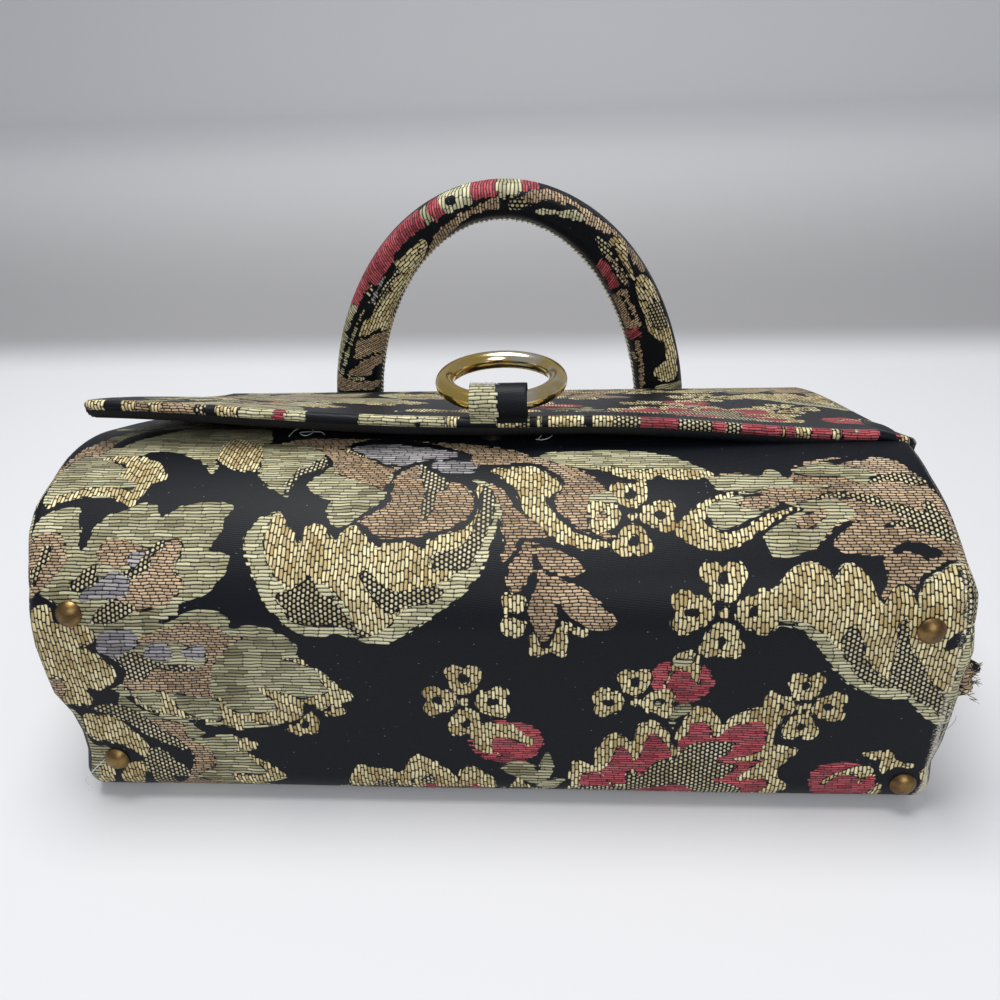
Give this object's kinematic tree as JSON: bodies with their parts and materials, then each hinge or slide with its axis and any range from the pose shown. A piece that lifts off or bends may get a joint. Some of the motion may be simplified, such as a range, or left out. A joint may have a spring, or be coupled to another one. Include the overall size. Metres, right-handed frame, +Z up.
{
  "type": "carpet bag",
  "caption": "Small stiff carpet bag of black floral brocade with a board-lined flap, a ring on the lip, brass feet and an arched padded handle, lying on its back.",
  "frame": {"origin": "middle of the back panel's outer face, which the bag lies on", "axes": "+X along the bag, +Y from the bottom panel towards the top, +Z up from the back panel towards the front"},
  "size_m": [0.2914, 0.2191, 0.1604],
  "materials": {
    "brocade": "black satin ground with woven cream, sage, tan and rose flowers and leaves",
    "satin": "plain black lining satin",
    "stiffener": "plain pressed fibre board",
    "gilt_metal": "polished pale gold plate, worn to silver on top",
    "aged_brass": "tarnished brown brass",
    "snap_metal": "blackened press stud"
  },
  "bodies": {
    "bag": {"outer_cover": "brocade", "gusset_left": "brocade", "gusset_right": "brocade", "back_board": "stiffener", "bottom_board": "stiffener", "front_board": "stiffener", "lining": "satin", "snap_socket": "snap_metal", "foot_back_left": "aged_brass", "foot_back_right": "aged_brass", "foot_front_left": "aged_brass", "foot_front_right": "aged_brass"},
    "flap": {"flap_cover": "brocade", "flap_lining": "satin", "flap_top_board": "stiffener", "flap_front_board": "stiffener", "ring_loop": "brocade", "snap_stud": "snap_metal", "handle_patch_left": "brocade", "handle_patch_right": "brocade"},
    "ring": {"ring": "gilt_metal"},
    "handle": {"handle_cover": "brocade", "handle_core": "stiffener"}
  },
  "joints": [
    {"name": "flap_hinge", "type": "hinge", "parent": "bag", "child": "flap", "pos_m": [0, 0.095, 0.0022], "axis": [-1, 0, 0], "range_deg": [0, 62]},
    {"name": "ring_swing", "type": "hinge", "parent": "flap", "child": "ring", "pos_m": [0.003, -0.0355, 0.1172], "axis": [1, 0, 0], "range_deg": [-22, 195]},
    {"name": "handle_swing", "type": "hinge", "parent": "flap", "child": "handle", "pos_m": [-0.0015, 0.1072, 0.038], "axis": [-1, 0, 0], "range_deg": [0, 98]}
  ]
}
